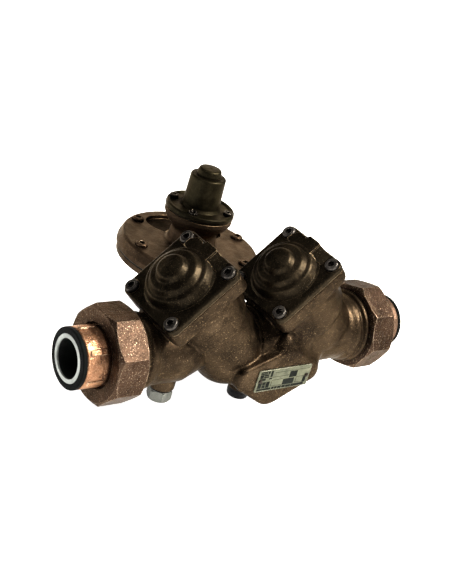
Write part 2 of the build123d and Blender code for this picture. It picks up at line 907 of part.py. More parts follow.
# ---- relief valve: fixing to the body -----------------------------------------------------------
with BuildPart() as port_o_ring:
    ring(port_plane.offset(-port_joint_y - 1), 12.6, 0.95)
finish(port_o_ring, "port_o_ring")

with BuildPart() as port_screws:
    for seat in port_seats:
        socket_screw(seat.offset(port_flange), *cover_screw, shank_length=2 * port_flange)
finish(port_screws, "port_screws")

# ---- plugs and nameplate ------------------------------------------------------------------------
with BuildPart() as drain_plug:
    turn(upright_station(drain_x, 0, 0), [
        (0, -34.3),
        (8.4, -34.3),
        (8.4, -35.4, 0.4),
        (0, -35.4),
    ])
    with BuildSketch(upright_station(drain_x, 0, -35.4)):
        RegularPolygon(drain_hex_radius, 6, rotation=12)
    extrude(amount=-7.6)
    turn(upright_station(drain_x, 0, 0), [
        (0, -43),
        (8.0, -43),
        (drain_hex_radius, -41.4),
        (drain_hex_radius, -34.3),
        (0, -34.3),
    ], Mode.INTERSECT)
    bore(upright_station(drain_x, 0, -34.4), plug_thread_radius - fit, 15, Mode.ADD)
finish(drain_plug, "drain_plug")

plug_washers = {
    "drain": (drain_x, 0, drain_boss_bottom - washer_thickness, 8.6),
    "zone": (zone_plug_x, zone_plug_y, zone_boss_bottom - washer_thickness, 8.2),
}
for plug, (x, y, bottom, radius) in plug_washers.items():
    with BuildPart() as plug_washer:
        turn(upright_station(x, y, bottom), [
            (plug_thread_radius + 0.1, 0),
            (radius, 0, 0.3),
            (radius, washer_thickness, 0.3),
            (plug_thread_radius + 0.1, washer_thickness),
        ])
    finish(plug_washer, f"{plug}_plug_washer")

with BuildPart() as zone_plug:
    turn(upright_station(zone_plug_x, zone_plug_y, 0), [
        (0, -50.6),
        (8.0, -50.6, 1.6),
        (8.4, -46, 1.0),
        (8.0, -44.3),
        (plug_thread_radius - fit, -44.3),
        (plug_thread_radius - fit, -28),
        (0, -28),
    ])
finish(zone_plug, "zone_plug")

with BuildPart() as nameplate:
    plate_plane = Plane(origin=(plate_x, lobe_face_y, plate_z), x_dir=(-1, 0, 0), z_dir=(0, 1, 0))
    with BuildSketch(plate_plane):
        RectangleRounded(plate_width, plate_height, 1.0)
        with Locations((pin_inset - plate_width / 2, 0), (plate_width / 2 - pin_inset, 0)):
            Circle(0.95, mode=Mode.SUBTRACT)
    extrude(amount=plate_thickness)
finish(nameplate, "nameplate")

with BuildPart() as nameplate_pins:
    for side in (-1, 1):
        pin = shifted(plate_plane, side * (plate_width / 2 - pin_inset), 0)
        turn(pin, [
            (0, 0),
            (0.9, 0),
            (0.9, plate_thickness + 0.02),
            (1.7, plate_thickness + 0.02),
            (1.5, plate_thickness + 0.7, 0.3),
            (0, plate_thickness + 0.9),
        ])
finish(nameplate_pins, "nameplate_pins")
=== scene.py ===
import json
import math

import bpy
import numpy as np
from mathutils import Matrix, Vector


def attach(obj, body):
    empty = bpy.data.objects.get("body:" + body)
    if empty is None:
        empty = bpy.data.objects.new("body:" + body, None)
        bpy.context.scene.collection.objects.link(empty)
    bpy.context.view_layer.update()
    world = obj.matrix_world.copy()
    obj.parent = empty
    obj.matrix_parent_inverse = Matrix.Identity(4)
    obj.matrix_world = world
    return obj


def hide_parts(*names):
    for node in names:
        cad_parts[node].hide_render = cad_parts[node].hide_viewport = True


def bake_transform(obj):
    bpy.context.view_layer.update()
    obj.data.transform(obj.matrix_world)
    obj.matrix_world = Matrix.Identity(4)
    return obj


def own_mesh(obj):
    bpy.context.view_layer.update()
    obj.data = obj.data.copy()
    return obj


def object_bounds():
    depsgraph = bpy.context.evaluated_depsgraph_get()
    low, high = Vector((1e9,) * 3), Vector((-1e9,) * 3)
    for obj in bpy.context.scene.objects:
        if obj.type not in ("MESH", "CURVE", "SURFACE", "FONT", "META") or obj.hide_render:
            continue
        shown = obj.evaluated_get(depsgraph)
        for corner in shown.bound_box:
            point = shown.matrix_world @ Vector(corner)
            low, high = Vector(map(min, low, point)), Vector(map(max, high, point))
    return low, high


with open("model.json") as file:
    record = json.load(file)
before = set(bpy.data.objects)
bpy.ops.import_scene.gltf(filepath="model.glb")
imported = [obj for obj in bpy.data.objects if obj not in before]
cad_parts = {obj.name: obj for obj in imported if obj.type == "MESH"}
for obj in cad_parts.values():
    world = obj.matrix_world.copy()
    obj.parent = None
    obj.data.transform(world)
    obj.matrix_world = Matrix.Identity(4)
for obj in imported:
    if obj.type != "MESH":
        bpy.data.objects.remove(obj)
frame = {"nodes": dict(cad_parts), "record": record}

import openvdb
from mathutils import Matrix, Vector
from mathutils.geometry import delaunay_2d_cdt

# Looks of the backflow preventer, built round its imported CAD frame. Lengths are metres, in the
# CAD's frame: X runs along the pipe from the inlet, Z is up, and the nameplate faces +Y.

MM = 0.001
cad_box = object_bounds()
scene = bpy.context.scene
nodes = frame["nodes"]

# ---- places taken over from the CAD model ------------------------------------------------------
PIPE_LENGTH = 292 * MM
CHECK_X = {"first": 72 * MM, "second": 165 * MM}
LEAN = math.radians(45)
CHECK_AXIS = np.array((math.sin(LEAN), 0, math.cos(LEAN)))
CHECK_DOWN = np.array((math.cos(LEAN), 0, -math.sin(LEAN)))
UPRIGHT = np.array((0.0, 0.0, 1.0))
RELIEF = np.array((138, -95, 0)) * MM
PLATE_CENTRE = np.array((126.8, 33.8, -16.5)) * MM
PLATE_SIZE = (50 * MM, 18 * MM)


# ---- mesh helpers ------------------------------------------------------------------------------
def new_piece(name, points, faces, material, body, slot, smooth=True):
    """A mesh object with one material, which rides on a CAD body if one is given."""
    mesh = bpy.data.meshes.new(name)
    mesh.from_pydata([tuple(p) for p in points], [], [tuple(f) for f in faces])
    mesh.validate()
    mesh.polygons.foreach_set("use_smooth", [smooth] * len(mesh.polygons))
    piece = bpy.data.objects.new(name, mesh)
    scene.collection.objects.link(piece)
    mesh.materials.append(material)
    if body is not None:
        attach(piece, body)
    return piece


def across(axis):
    """Two unit vectors square to an axis and to each other."""
    side = np.cross(axis, (0.0, 1.0, 0.0))
    side /= np.linalg.norm(side)
    return side, np.cross(axis, side)


def tube(path, radius, sides=12):
    """Points and faces of a round wire along a path, with closed ends."""
    path = np.array(path)
    tangents = np.gradient(path, axis=0)
    tangents /= np.linalg.norm(tangents, axis=1)[:, None]
    any_direction = (0.31, 0.52, 0.79)
    normal = np.cross(tangents[0], any_direction)
    rows = []
    for point, tangent in zip(path, tangents):
        normal = normal - tangent * (normal @ tangent)
        normal = normal / np.linalg.norm(normal)
        other = np.cross(tangent, normal)
        angles = np.arange(sides) * 2 * math.pi / sides
        rows.append(point + radius * (np.outer(np.cos(angles), normal) + np.outer(np.sin(angles), other)))
    points = np.concatenate(rows)
    faces = []
    for row in range(len(path) - 1):
        for side in range(sides):
            step = (side + 1) % sides
            low, high = row * sides, (row + 1) * sides
            faces.append((low + side, low + step, high + step, high + side))
    faces.append(tuple(reversed(range(sides))))
    faces.append(tuple(range(len(points) - sides, len(points))))
    return points, faces


def blocks(boxes):
    """Points and faces of closed boxes, each given by its lowest and highest corner."""
    points, faces = [], []
    for low, high in boxes:
        start = len(points)
        for z in (low[2], high[2]):
            points += [(low[0], low[1], z), (high[0], low[1], z)]
            points += [(high[0], high[1], z), (low[0], high[1], z)]
        for face in ((3, 2, 1, 0), (4, 5, 6, 7), (0, 1, 5, 4), (1, 2, 6, 5), (2, 3, 7, 6), (3, 0, 4, 7)):
            faces.append([start + corner for corner in face])
    return points, faces


# ---- materials ---------------------------------------------------------------------------------
class Surface:
    """A node material with the small set of textures that every finish here is made from."""

    def __init__(self, name):
        self.material = bpy.data.materials.new(name)
        self.material.use_nodes = True
        self.tree = self.material.node_tree
        self.shader = self.tree.nodes["Principled BSDF"]
        self.place = self.add("ShaderNodeTexCoord").outputs["Object"]
        self.geometry = self.add("ShaderNodeNewGeometry")

    def add(self, kind, **settings):
        node = self.tree.nodes.new(kind)
        for key, value in settings.items():
            setattr(node, key, value)
        return node

    def put(self, value, socket):
        if isinstance(value, bpy.types.NodeSocket):
            self.tree.links.new(value, socket)
        else:
            socket.default_value = value

    def noise(self, scale, detail=3.0, roughness=0.55, distortion=0.0, stretch=None):
        node = self.add("ShaderNodeTexNoise")
        place = self.place
        if stretch is not None:
            mapping = self.add("ShaderNodeMapping")
            mapping.inputs["Scale"].default_value = stretch
            self.put(self.place, mapping.inputs["Vector"])
            place = mapping.outputs["Vector"]
        self.put(place, node.inputs["Vector"])
        node.inputs["Scale"].default_value = scale
        node.inputs["Detail"].default_value = detail
        node.inputs["Roughness"].default_value = roughness
        node.inputs["Distortion"].default_value = distortion
        return node.outputs["Fac"]

    def cells(self, scale):
        node = self.add("ShaderNodeTexVoronoi")
        self.put(self.place, node.inputs["Vector"])
        node.inputs["Scale"].default_value = scale
        return node.outputs["Distance"]

    def spread(self, value, low, high, start=0.0, stop=1.0):
        node = self.add("ShaderNodeMapRange")
        node.interpolation_type = "SMOOTHSTEP"
        self.put(value, node.inputs["Value"])
        node.inputs["From Min"].default_value = low
        node.inputs["From Max"].default_value = high
        node.inputs["To Min"].default_value = start
        node.inputs["To Max"].default_value = stop
        return node.outputs["Result"]

    def math(self, operation, a, b):
        node = self.add("ShaderNodeMath", operation=operation)
        self.put(a, node.inputs[0])
        self.put(b, node.inputs[1])
        return node.outputs[0]

    def mix(self, share, a, b, blend="MIX"):
        node = self.add("ShaderNodeMix", data_type="RGBA", blend_type=blend)
        self.put(share, node.inputs["Factor"])
        self.put(a, node.inputs["A"])
        self.put(b, node.inputs["B"])
        return node.outputs["Result"]

    def along(self, axis):
        node = self.add("ShaderNodeSeparateXYZ")
        self.put(self.place, node.inputs["Vector"])
        return node.outputs[axis]

    def reach(self, centre):
        """Distance from an upright axis."""
        level = self.add("ShaderNodeVectorMath", operation="MULTIPLY")
        self.put(self.place, level.inputs[0])
        level.inputs[1].default_value = (1, 1, 0)
        gap = self.add("ShaderNodeVectorMath", operation="DISTANCE")
        self.put(level.outputs["Vector"], gap.inputs[0])
        gap.inputs[1].default_value = (centre[0], centre[1], 0)
        return gap.outputs["Value"]

    def soft_normal(self, radius):
        node = self.add("ShaderNodeBevel", samples=6)
        node.inputs["Radius"].default_value = radius
        return node.outputs["Normal"]

    def edges(self, normal, low=0.02, high=0.22):
        """Where the rounded normal leaves the real one: 1 on corners, 0 on faces."""
        dot = self.add("ShaderNodeVectorMath", operation="DOT_PRODUCT")
        self.put(normal, dot.inputs[0])
        self.put(self.geometry.outputs["Normal"], dot.inputs[1])
        return self.spread(self.math("SUBTRACT", 1.0, dot.outputs["Value"]), low, high)

    def hollows(self, distance, low=0.35, high=0.95):
        """1 in corners and pockets and 0 in the open: where grime gathers and painted shade darkens."""
        node = self.add("ShaderNodeAmbientOcclusion", samples=6)
        node.inputs["Distance"].default_value = distance
        return self.spread(node.outputs["AO"], high, low)

    def bump(self, height, strength, depth, normal=None):
        node = self.add("ShaderNodeBump")
        node.inputs["Strength"].default_value = strength
        node.inputs["Distance"].default_value = depth
        self.put(height, node.inputs["Height"])
        if normal is not None:
            self.put(normal, node.inputs["Normal"])
        return node.outputs["Normal"]


def rgba(colour):
    return (*colour, 1.0)


def metal(name, dark, base, light, worn, metallic=0.9, rough=(0.4, 0.62), patch=38.0, grain=900.0,
          grain_depth=0.25, pit=0.0, wear=0.8, edge=0.0009, grime_and_shade=0.8, grime_and_shade_reach=0.008, glints=0.0,
          scratch=0.0, shade=None, glancing=(0.50, 0.475, 0.445)):
    """Cast or machined metal: blotchy patina, sand grain, grime and painted shade in the hollows, optional
    painted glints and worn corners.
    """
    s = Surface(name)
    patches = s.noise(patch, 5.0, 0.62, 0.4)
    grains = s.noise(grain, 4.0, 0.6)
    coarse = s.noise(grain / 4.2, 3.0, 0.55)
    colour = s.mix(s.spread(patches, 0.34, 0.56), rgba(dark), rgba(base))
    colour = s.mix(s.spread(patches, 0.54, 0.74), colour, rgba(light))
    colour = s.mix(s.spread(grains, 0.50, 0.72, 0.0, 0.55), colour, rgba(light))
    colour = s.mix(s.spread(coarse, 0.46, 0.30, 0.0, 0.5), colour, rgba(dark))
    rounded = s.soft_normal(edge)
    corner = s.edges(rounded)
    # Corners and pockets are darkened, as grime and as painted shade; a passed-in shade mask adds more
    # painted shade.
    hollow = s.hollows(grime_and_shade_reach)
    if shade is not None:
        hollow = s.math("MAXIMUM", hollow, shade(s))
    colour = s.mix(s.math("MULTIPLY", hollow, grime_and_shade), colour, rgba([c * 0.16 for c in dark]))
    rub = s.math("MULTIPLY", s.spread(s.noise(grain / 5, 4.0, 0.7), 0.36, 0.6, 0.15, 1.0), wear)
    colour = s.mix(s.math("MULTIPLY", corner, rub), colour, rgba(worn))
    # Glints are bright flecks of the worn tone painted into the base colour: painted highlights.
    if glints:
        spark = s.spread(s.noise(grain * 1.9, 2.0, 0.5), 0.64, 0.72, 0.0, glints)
        colour = s.mix(spark, colour, rgba(worn))
    s.put(colour, s.shader.inputs["Base Color"])
    gloss = s.spread(s.noise(patch * 4, 4.0, 0.6), 0.3, 0.7, rough[0], rough[1])
    gloss = s.math("ADD", gloss, s.spread(hollow, 0.0, 1.0, 0.0, 0.25))
    gloss = s.math("SUBTRACT", gloss, s.spread(corner, 0.0, 1.0, 0.0, 0.08))
    s.put(gloss, s.shader.inputs["Roughness"])
    s.shader.inputs["Metallic"].default_value = metallic
    s.shader.inputs["Specular IOR Level"].default_value = 0.3
    s.shader.inputs["Specular Tint"].default_value = rgba(glancing)
    height = s.math("MULTIPLY", grains, grain_depth)
    height = s.math("ADD", height, s.math("MULTIPLY", coarse, grain_depth * 1.6))
    if pit:
        height = s.math("SUBTRACT", height, s.spread(s.cells(grain / 2.6), 0.32, 0.05, 0.0, pit))
    if scratch:
        lines = s.noise(700.0, 2.0, 0.5, 0.6, (1.0, 0.06, 1.0))
        height = s.math("SUBTRACT", height, s.spread(lines, 0.64, 0.7, 0.0, scratch))
    s.put(s.bump(height, 0.9, 0.0012, rounded), s.shader.inputs["Normal"])
    return s.material


def soft_material(name, colour, light, rough=(0.55, 0.75), grain=1400.0, depth=0.2, edge=0.0004, shade=None,
                  specular=0.15):
    """Rubber, resin or moulded plastic: even colour with a fine moulded grain, grime and painted shade in
    the hollows, and dull corners.
    """
    s = Surface(name)
    patches = s.noise(60.0, 4.0, 0.6)
    grains = s.noise(grain, 3.0, 0.6)
    rounded = s.soft_normal(edge)
    tone = s.mix(s.spread(patches, 0.35, 0.7), rgba(colour), rgba(light))
    tone = s.mix(s.spread(grains, 0.55, 0.75, 0.0, 0.35), tone, rgba(light))
    # Corners and pockets darkened: grime and painted shade.
    tone = s.mix(s.math("MULTIPLY", s.hollows(0.004), 0.5), tone, rgba([c * 0.3 for c in colour]))
    tone = s.mix(s.math("MULTIPLY", s.edges(rounded), 0.35), tone, rgba(light))
    # A passed-in mask paints shade, such as the dark inside of the bore.
    if shade is not None:
        tone = s.mix(shade(s), tone, rgba([c * 0.02 for c in colour]))
    s.put(tone, s.shader.inputs["Base Color"])
    s.put(s.spread(grains, 0.3, 0.7, rough[0], rough[1]), s.shader.inputs["Roughness"])
    s.shader.inputs["Specular IOR Level"].default_value = specular
    s.put(s.bump(grains, 0.6, depth * MM, rounded), s.shader.inputs["Normal"])
    return s.material


def casing_shade(s):
    """Painted shadow of the hat on the floor of the hollow cast into the relief valve's lid, and the cup
    above it darkened more towards its top.
    """
    lid_top, hollow_floor = 27.6 * MM, 26.4 * MM
    hollow_edge, hollow_middle = 50 * MM, 47 * MM
    neck, cup = 38 * MM, 56 * MM
    depth = s.spread(s.along("Z"), lid_top, hollow_floor)
    # The hollow's floor gets painted shadow.
    painted_floor_shadow = s.math("MULTIPLY", depth, s.spread(s.reach(RELIEF), hollow_edge, hollow_middle))
    return s.math("MAXIMUM", painted_floor_shadow, s.spread(s.along("Z"), neck, cup, 0.0, 0.6))


def bore_shade(s):
    """Depth below the nearer pipe mouth, where the resin sleeve is painted dark as shade inside the bore."""
    unshaded_depth, shaded_depth = 0.5 * MM, 1.6 * MM
    from_inlet = s.along("X")
    from_outlet = s.math("SUBTRACT", PIPE_LENGTH, from_inlet)
    return s.spread(s.math("MINIMUM", from_inlet, from_outlet), unshaded_depth, shaded_depth)


finishes = {
    "cast_bronze": metal(
        "cast_bronze",
        dark=(0.0075, 0.0050, 0.0030), base=(0.0250, 0.0167, 0.0098), light=(0.0550, 0.0378, 0.0225),
        worn=(0.7, 0.5, 0.29),
        rough=(0.30, 0.47), grain=760.0, grain_depth=0.19, glints=0.3, pit=0.10, wear=0.45, grime_and_shade=0.3),
    "nut_bronze": metal(
        "nut_bronze",
        dark=(0.0145, 0.00874, 0.0058), base=(0.0387, 0.0232, 0.015), light=(0.092, 0.058, 0.0372),
        worn=(0.8, 0.6, 0.42),
        rough=(0.36, 0.50), grain=760.0, grain_depth=0.30, glints=0.55, scratch=0.2),
    "tail_bronze": metal(
        "tail_bronze",
        dark=(0.13, 0.060, 0.032), base=(0.36, 0.185, 0.100), light=(0.62, 0.37, 0.225),
        worn=(0.95, 0.70, 0.48),
        rough=(0.25, 0.40), grain=1000.0, grain_depth=0.3, pit=0.2, glints=0.6),
    "dull_tail": metal(
        "dull_tail",
        dark=(0.036, 0.0216, 0.0152), base=(0.096, 0.0592, 0.04), light=(0.176, 0.112, 0.076),
        worn=(0.6, 0.42, 0.28),
        rough=(0.34, 0.5), grain=1000.0, grain_depth=0.25, pit=0.2, glints=0.4),
    # The covers' hollow darkening is strong and wide: painted shade in their grooves and round the domes,
    # besides grime.
    "cover_bronze": metal(
        "cover_bronze",
        dark=(0.0055, 0.0043, 0.0027), base=(0.0150, 0.0114, 0.0068), light=(0.0430, 0.0320, 0.0195),
        worn=(0.48, 0.36, 0.22),
        rough=(0.31, 0.46), grain=800.0, grain_depth=0.20, wear=0.9, grime_and_shade=0.95, grime_and_shade_reach=0.012,
        glints=0.2),
    "casing_bronze": metal(
        "casing_bronze",
        dark=(0.0180, 0.0112, 0.0066), base=(0.0380, 0.0245, 0.0150), light=(0.0620, 0.0405, 0.0250),
        worn=(0.445, 0.31, 0.175),
        rough=(0.40, 0.56), grain=1000.0, grain_depth=0.15, wear=0.4, glints=0.25, shade=casing_shade,
        glancing=(0.60, 0.552, 0.50)),
    "bonnet_bronze": metal(
        "bonnet_bronze",
        dark=(0.00598, 0.00506, 0.00276), base=(0.0136, 0.0113, 0.00586), light=(0.0333, 0.0276, 0.0149),
        worn=(0.3, 0.24, 0.15),
        rough=(0.38, 0.52), grain=950.0, grain_depth=0.14),
    "screw_steel": metal(
        "screw_steel",
        dark=(0.0036, 0.0032, 0.0028), base=(0.0090, 0.0078, 0.0066), light=(0.050, 0.044, 0.038),
        worn=(0.7, 0.62, 0.52),
        rough=(0.16, 0.32), grain=1800.0, grain_depth=0.14, wear=0.4, edge=0.0005, glints=0.35),
    "dark_steel": metal(
        "dark_steel",
        dark=(0.02, 0.018, 0.016), base=(0.07, 0.064, 0.058), light=(0.18, 0.165, 0.15),
        worn=(0.6, 0.56, 0.5),
        rough=(0.28, 0.45), grain=1600.0, grain_depth=0.15, edge=0.0004),
    "rusty_steel": metal(
        "rusty_steel",
        dark=(0.014, 0.008, 0.005), base=(0.045, 0.027, 0.016), light=(0.11, 0.07, 0.04),
        worn=(0.5, 0.38, 0.26),
        rough=(0.3, 0.5), grain=1500.0, grain_depth=0.15, wear=0.6, edge=0.0006, glints=0.3),
    "spring_steel": metal(
        "spring_steel",
        dark=(0.16, 0.16, 0.165), base=(0.34, 0.34, 0.345), light=(0.52, 0.52, 0.52),
        worn=(0.75, 0.75, 0.74),
        metallic=1.0, rough=(0.18, 0.32), grain=2600.0, grain_depth=0.06, wear=0.2, edge=0.0002, grime_and_shade=0.3),
    "brass": metal(
        "brass",
        dark=(0.30, 0.18, 0.06), base=(0.52, 0.35, 0.13), light=(0.70, 0.50, 0.22),
        worn=(0.86, 0.70, 0.42),
        metallic=1.0, rough=(0.2, 0.36), grain=2000.0, grain_depth=0.08, wear=0.4, edge=0.0004, grime_and_shade=0.3,
        scratch=0.1),
    "plug_metal": metal(
        "plug_metal",
        dark=(0.035, 0.039, 0.035), base=(0.1, 0.107, 0.0975), light=(0.17, 0.177, 0.165),
        worn=(0.66, 0.67, 0.63),
        metallic=0.6, rough=(0.35, 0.55), grain=1400.0, grain_depth=0.2, edge=0.0005, grime_and_shade=0.4),
    "plate_metal": metal(
        "plate_metal",
        dark=(0.0432, 0.0493, 0.0315), base=(0.0788, 0.0861, 0.0549), light=(0.127, 0.133, 0.0886),
        worn=(0.72, 0.698, 0.58),
        metallic=0.35, rough=(0.38, 0.5), patch=90.0, grain=1500.0, grain_depth=0.12, edge=0.0004, grime_and_shade=0.3,
        scratch=0.2),
    "rubber": soft_material("rubber", (0.006, 0.006, 0.006), (0.02, 0.02, 0.02)),
    "ring_rubber": soft_material(
        "ring_rubber", (0.0012, 0.0018, 0.0018), (0.004, 0.005, 0.0048), (0.6, 0.8),
        depth=0.3, specular=0.03),
    "grey_resin": soft_material(
        "grey_resin", (0.30, 0.33, 0.32), (0.52, 0.56, 0.54), (0.35, 0.55), depth=0.1, shade=bore_shade),
    "black_plastic": soft_material(
        "black_plastic", (0.002, 0.002, 0.003), (0.009, 0.0095, 0.0105), (0.35, 0.55), specular=0.08),
    "printed_ink": soft_material(
        "printed_ink", (0.003, 0.0042, 0.0038), (0.010, 0.012, 0.0104), (0.6, 0.8), specular=0.03),
}

for row in frame["record"]["subparts"]:
    node = nodes[row["node"]]
    node.data.materials.clear()
    node.data.materials.append(finishes[row["material_slot"]])
nodes["inlet_tail"].data.materials[0] = finishes["dull_tail"]
nodes["casing_screws"].data.materials[0] = finishes["rusty_steel"]

# ---- body casting, with the rounded hollows that a sand mould leaves ---------------------------
CELL = 0.8 * MM
SMALL_FILLET = 4.5 * MM
LARGE_FILLET = 15.0 * MM
BAND = LARGE_FILLET / CELL + 4


def level_set(points, triangles=None, quads=None):
    transform = openvdb.createLinearTransform(voxelSize=CELL)
    sides = {"triangles": triangles} if triangles is not None else {"quads": quads}
    return openvdb.FloatGrid.createLevelSetFromPolygons(points, transform=transform, halfWidth=BAND, **sides)


def dense(grid, origin, shape):
    values = np.zeros(shape, np.float32)
    grid.copyToArray(values, ijk=tuple(origin))
    return values


def as_grid(values, origin):
    grid = openvdb.FloatGrid(BAND * CELL)
    grid.transform = openvdb.createLinearTransform(voxelSize=CELL)
    grid.copyFromArray(values, ijk=tuple(origin))
    return grid


def closed_up(solid, origin, radius):
    """Signed distance to the solid with every hollow filled that a ball of the radius can't enter."""
    points, quads = as_grid(solid, origin).convertToQuads(isovalue=radius)
    return dense(level_set(points, quads=quads), origin, solid.shape) + radius


def softened(values, passes):
    """The values averaged with their neighbours, which rounds edges and leaves flat faces alone."""
    for axis in range(3):
        for _ in range(passes):
            values = (np.roll(values, 1, axis) + np.roll(values, -1, axis) + 2 * values) / 4
    return values


def rod(place, start, axis, radius, low, high):
    """Signed distance to a round rod along an axis."""
    relative = [place[i] - start[i] for i in range(3)]
    along = sum(relative[i] * axis[i] for i in range(3))
    square = sum(r * r for r in relative) - along * along
    radial = np.sqrt(np.maximum(square, 0)) - radius
    return np.maximum(radial, np.maximum(low - along, along - high)).astype(np.float32)


RUN_RADIUS = 16.6 * MM
INLET_RUN, OUTLET_RUN = (32.5 * MM, 130 * MM), (180 * MM, 259.5 * MM)
CHAMBER_RADIUS, CHAMBER = 22.8 * MM, (-9 * MM, 70.4 * MM)
THROAT_RADIUS, THROAT_DEPTH = 17.4 * MM, 28 * MM
SIDE_PORT, PORT_RADIUS, PORT_LENGTH = (138 * MM, 0, -16 * MM), 14 * MM, 60 * MM
PLUG_HOLE_RADIUS = 6.4 * MM
PLUG_HOLES = ((208.7 * MM, 0, 33.5 * MM), (136 * MM, 2 * MM, 43.5 * MM))


def waterways(place):
    """Signed distance to the passages, chambers and threaded holes, which stay as the CAD has them."""
    along_pipe, downward = (1, 0, 0), (0, 0, -1)
    rods = [rod(place, (0, 0, 0), along_pipe, RUN_RADIUS, *run) for run in (INLET_RUN, OUTLET_RUN)]
    rods += [rod(place, (x, 0, 0), CHECK_AXIS, CHAMBER_RADIUS, *CHAMBER) for x in CHECK_X.values()]
    rods.append(rod(place, (CHECK_X["second"], 0, 0), CHECK_AXIS, THROAT_RADIUS, -THROAT_DEPTH, 0))
    rods.append(rod(place, SIDE_PORT, (0, -1, 0), PORT_RADIUS, 0, PORT_LENGTH))
    rods += [rod(place, (x, y, 0), downward, PLUG_HOLE_RADIUS, 0, depth) for x, y, depth in PLUG_HOLES]
    return np.minimum.reduce(rods)


CAST_START, CAST_END = 60 * MM, 232 * MM
PORT_FACE = -50 * MM
FLANGE_START, FLANGE_CORNER = 50 * MM, 26 * MM
BARREL_HALF, BARREL_START, BARREL_FRONT = 27 * MM, 26 * MM, 10 * MM
LOBE_X, LOBE_HALF_LENGTH = 128 * MM, 44 * MM
LOBE_Z, LOBE_HALF_HEIGHT, LOBE_FRONT = -2 * MM, 24 * MM, 8 * MM
FADE_START, FADE_REACH, FADE_SLOPE = 3 * MM, 20 * MM, 0.8
SHARP_MARGIN, WATERWAY_MARGIN, BLEND_WIDTH = 6 * MM, 4 * MM, 3 * MM
SOFT_BAND, SOFT_PASSES = 8 * MM, 8


def up_and_down(place, x):
    """Distances along a check's axis, and across it down the slope."""
    height = (place[0] - x) * CHECK_AXIS[0] + place[2] * CHECK_AXIS[2]
    down = (place[0] - x) * CHECK_DOWN[0] + place[2] * CHECK_DOWN[2]
    return height, down


def sharp_region(place):
    """Positive at the pipe ends, the side port and the first flange's low corner, which stay sharp."""
    height, down = up_and_down(place, CHECK_X["first"])
    ends = np.maximum(CAST_START - place[0], place[0] - CAST_END)
    sharp = np.maximum(ends, PORT_FACE - place[1])
    return np.maximum(sharp, np.minimum(height - FLANGE_START, down - FLANGE_CORNER))


def shallow_region(place):
    """Negative on the barrels' front sides and round the lobe, the only places for the large fillet."""
    across_lobe = np.maximum(
        np.abs(place[0] - LOBE_X) - LOBE_HALF_LENGTH, np.abs(place[2] - LOBE_Z) - LOBE_HALF_HEIGHT)
    shallow = np.maximum(across_lobe, LOBE_FRONT - place[1])
    for x in CHECK_X.values():
        height, down = up_and_down(place, x)
        barrel = np.maximum(np.abs(down) - BARREL_HALF, BARREL_START - height)
        shallow = np.minimum(shallow, np.maximum(barrel, BARREL_FRONT - place[1]))
    return shallow


def fading(region):
    """Lifts a fillet off the solid by degrees as it comes into a region, so that it leaves no step."""
    return np.clip(region + FADE_START, 0, FADE_REACH) * FADE_SLOPE


def cast_body():
    """Points and faces of the CAD body with rounded inner corners on its cast outside."""
    source = nodes["body"].data
    source.calc_loop_triangles()
    points = np.array([v.co for v in source.vertices], np.float32)
    triangles = np.array([t.vertices for t in source.loop_triangles], np.uint32)
    margin = LARGE_FILLET + 4 * MM
    origin = np.floor((points.min(0) - margin) / CELL).astype(int)
    shape = tuple(np.ceil((points.max(0) + margin) / CELL).astype(int) - origin)
    real = dense(level_set(points, triangles=triangles), origin, shape)
    place = np.meshgrid(*[(origin[i] + np.arange(shape[i])) * CELL for i in range(3)], indexing="ij")
    place = [p.astype(np.float32) for p in place]
    inside = waterways(place)
    solid = np.minimum(real, inside)

    sharp = sharp_region(place)
    small = closed_up(solid, origin, SMALL_FILLET) + fading(sharp)
    large = closed_up(solid, origin, LARGE_FILLET) + fading(np.maximum(sharp, shallow_region(place)))
    filled = np.minimum(real, np.maximum(np.minimum(small, large), -inside))
    machined = np.maximum(sharp + SHARP_MARGIN, WATERWAY_MARGIN - inside) / BLEND_WIDTH
    near = np.clip(filled, -SOFT_BAND, SOFT_BAND)
    final = filled + (1 - np.clip(machined, 0, 1)) * (softened(near, SOFT_PASSES) - near)
    cast_points, cast_quads = as_grid(final, origin).convertToQuads(isovalue=0.0)
    return np.array(cast_points, float), np.array(cast_quads)[:, ::-1]


casting_points, casting_quads = cast_body()
casting = new_piece(
    "body_casting", casting_points, casting_quads, finishes["cast_bronze"], "valve_body", "cast_bronze")
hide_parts("body")


# ---- springs -----------------------------------------------------------------------------------
STEPS_PER_TURN = 36
END_TURNS = 1.0
END_RISE = 0.12


def spring(name, start, axis, mean_radius, wire, height, turns, node):
    """Compression spring with closed ends."""
    side, other = across(axis)
    path = []
    steps = int(turns * STEPS_PER_TURN)
    for step in range(steps + 1):
        turned = step / steps * turns
        rise = min(max((turned - END_TURNS) / (turns - 2 * END_TURNS), 0), 1)
        lift = wire + END_RISE * wire * min(turned, END_TURNS)
        lift += rise * (height - 2 * wire - 2 * END_RISE * wire)
        lift += END_RISE * wire * max(turned - (turns - END_TURNS), 0)
        angle = turned * 2 * math.pi
        path.append(start + axis * lift + mean_radius * (math.cos(angle) * side + math.sin(angle) * other))
    points, faces = tube(path, wire)
    piece = new_piece(name, points, faces, finishes["spring_steel"], "valve_body", "spring_steel")
    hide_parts(node)
    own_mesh(piece)


WIRE = 0.9 * MM
CHECK_SPRING_BOTTOM, CHECK_SPRING_TOP, CHECK_SPRING_HEIGHT = 14.6 * MM, 79.6 * MM, 64.9 * MM
RELIEF_SPRING_SEAT, RELIEF_SPRING_BOTTOM, RELIEF_SPRING_HEIGHT = 57.85 * MM, 57.9 * MM, 18.2 * MM
for check, x in CHECK_X.items():
    spring(
        f"{check}_spring_wire", np.array((x, 0, 0)) + CHECK_AXIS * CHECK_SPRING_BOTTOM, CHECK_AXIS,
        mean_radius=12 * MM, wire=WIRE, height=CHECK_SPRING_HEIGHT, turns=10.5,
        node=f"{check}_check_spring")
spring(
    "relief_spring_wire", RELIEF + UPRIGHT * RELIEF_SPRING_BOTTOM, UPRIGHT,
    mean_radius=8.6 * MM, wire=WIRE, height=RELIEF_SPRING_HEIGHT, turns=6.5,
    node="relief_spring")
